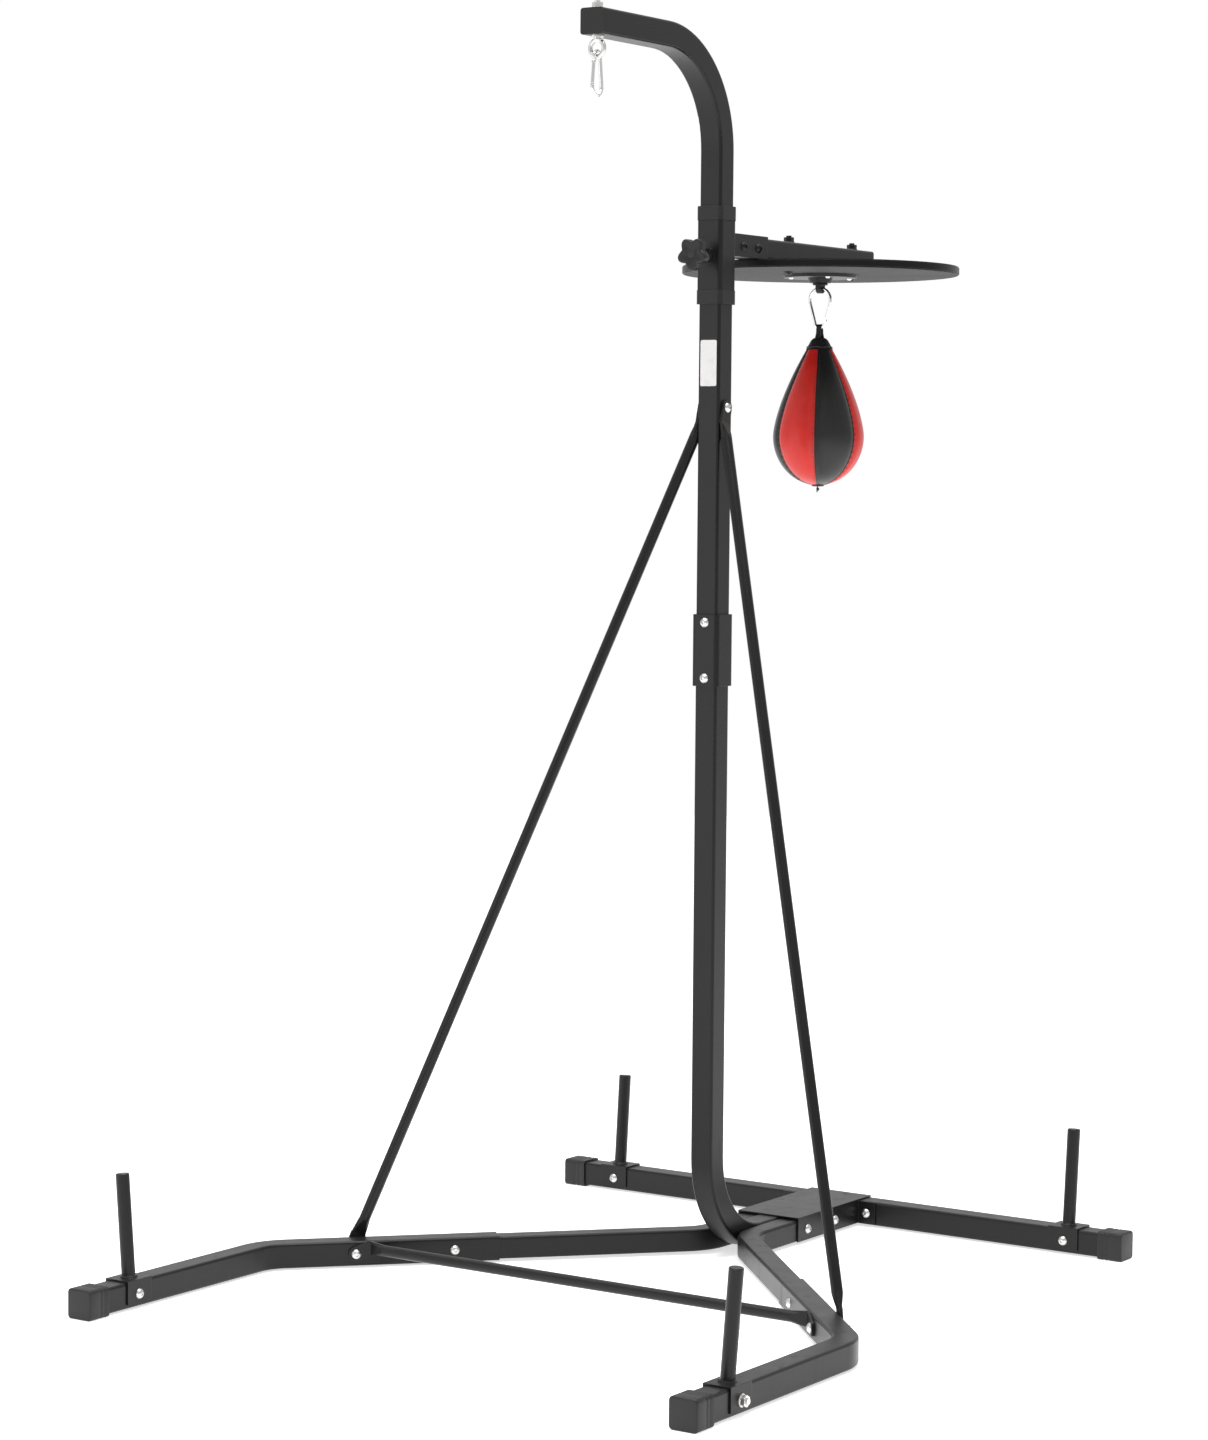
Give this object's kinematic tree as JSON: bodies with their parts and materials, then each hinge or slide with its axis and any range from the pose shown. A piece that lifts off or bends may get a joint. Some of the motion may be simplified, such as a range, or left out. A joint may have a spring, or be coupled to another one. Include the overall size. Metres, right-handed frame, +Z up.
{
  "type": "punching bag on stand",
  "caption": "Steel punching bag stand with a heavy-bag arm, a height-adjustable speed-bag rebound board with its bag, and weight plate pegs on a splayed base.",
  "frame": {"origin": "floor level, under the centre of the whole stand's bounding box", "axes": "+Z up along the post, +X towards the heavy-bag arm and the open ends of the front legs, Y along the rear bar"},
  "size_m": [1.6359, 1.287, 2.228],
  "materials": {
    "powder_coat": "satin powder coat, dark grey",
    "zinc": "bright zinc plate",
    "hook_steel": "bright plated steel",
    "black_plastic": "fine grained black plastic",
    "label": "blank satin label",
    "board_lacquer": "black lacquered board",
    "swivel_paint": "black satin paint",
    "bag_leather": "glossy synthetic leather, red and black panels",
    "strap_leather": "black leather"
  },
  "bodies": {
    "stand": {"lower_post": "powder_coat", "upper_post": "powder_coat", "post_coupler": "powder_coat", "coupler_bolts": "zinc", "coupler_nuts": "zinc", "arm_end_plug": "black_plastic", "leg_rear_left": "powder_coat", "leg_rear_right": "powder_coat", "leg_front_left": "powder_coat", "leg_front_right": "powder_coat", "leg_joint_bolts": "zinc", "brace_foot_bolts": "zinc", "leg_nuts": "zinc", "rear_bar": "powder_coat", "hub_bracket": "powder_coat", "hub_bolts": "zinc", "hub_nuts": "zinc", "bar_bolts": "zinc", "bar_nuts": "zinc", "side_brace_left": "powder_coat", "side_brace_right": "powder_coat", "brace_top_bolt": "zinc", "brace_top_nut": "zinc", "cross_brace": "powder_coat", "plate_peg_front_left": "powder_coat", "plate_peg_front_right": "powder_coat", "plate_peg_rear_left": "powder_coat", "plate_peg_rear_right": "powder_coat", "peg_bolts": "zinc", "peg_nuts": "zinc", "front_cap_left": "black_plastic", "front_cap_right": "black_plastic", "rear_cap_left": "black_plastic", "rear_cap_right": "black_plastic", "blank_label": "label", "hang_eye": "zinc", "hang_nut": "zinc"},
    "heavy_hook_body": {"heavy_hook": "hook_steel"},
    "heavy_gate_body": {"heavy_gate": "hook_steel"},
    "platform": {"platform_sleeve": "powder_coat", "bush_top": "black_plastic", "bush_bottom": "black_plastic", "platform_arm": "powder_coat", "arm_tail_plug": "black_plastic", "board": "board_lacquer", "board_bolts": "swivel_paint", "board_nuts": "swivel_paint", "socket_bolts": "swivel_paint", "socket_nuts": "swivel_paint", "swivel_plate": "swivel_paint", "swivel_screws": "zinc"},
    "clamp_knob": {"clamp_grip": "black_plastic", "clamp_screw": "zinc"},
    "swivel": {"swivel_hub": "swivel_paint"},
    "speed_hook_body": {"speed_hook": "hook_steel"},
    "speed_gate_body": {"speed_gate": "hook_steel"},
    "speed_bag_body": {"speed_bag": "bag_leather", "bag_strap": "strap_leather"}
  },
  "joints": [
    {"name": "heavy_hook_swing", "type": "hinge", "parent": "stand", "child": "heavy_hook_body", "pos_m": [0.188, 0, 2.134], "axis": [0, 1, 0], "range_deg": [-75, 75]},
    {"name": "heavy_gate_open", "type": "hinge", "parent": "heavy_hook_body", "child": "heavy_gate_body", "pos_m": [0.19719, 0, 2.12896], "axis": [0, 1, 0], "range_deg": [0, 20], "stiffness_Nm_per_rad": 0.02, "springref_deg": -11.46},
    {"name": "platform_height", "type": "slide", "parent": "stand", "child": "platform", "axis": [0, 0, 1], "range_m": [-0.06, 0.08]},
    {"name": "clamp_turn", "type": "hinge", "parent": "platform", "child": "clamp_knob", "pos_m": [-0.135, 0, 1.82], "axis": [1, 0, 0], "range_deg": [0, 360]},
    {"name": "swivel_spin", "type": "hinge", "parent": "platform", "child": "swivel", "pos_m": [-0.559, 0, 1.794], "axis": [0, 0, 1], "continuous": true},
    {"name": "speed_hook_swing", "type": "hinge", "parent": "swivel", "child": "speed_hook_body", "pos_m": [-0.559, 0, 1.781], "axis": [0, 1, 0], "range_deg": [-55, 55]},
    {"name": "speed_gate_open", "type": "hinge", "parent": "speed_hook_body", "child": "speed_gate_body", "pos_m": [-0.559, 0.0113, 1.71989], "axis": [1, 0, 0], "range_deg": [0, 20], "stiffness_Nm_per_rad": 0.02, "springref_deg": -11.46},
    {"name": "speed_bag_rock", "type": "hinge", "parent": "speed_hook_body", "child": "speed_bag_body", "pos_m": [-0.559, 0, 1.717], "axis": [1, 0, 0], "range_deg": [-20, 20]}
  ]
}
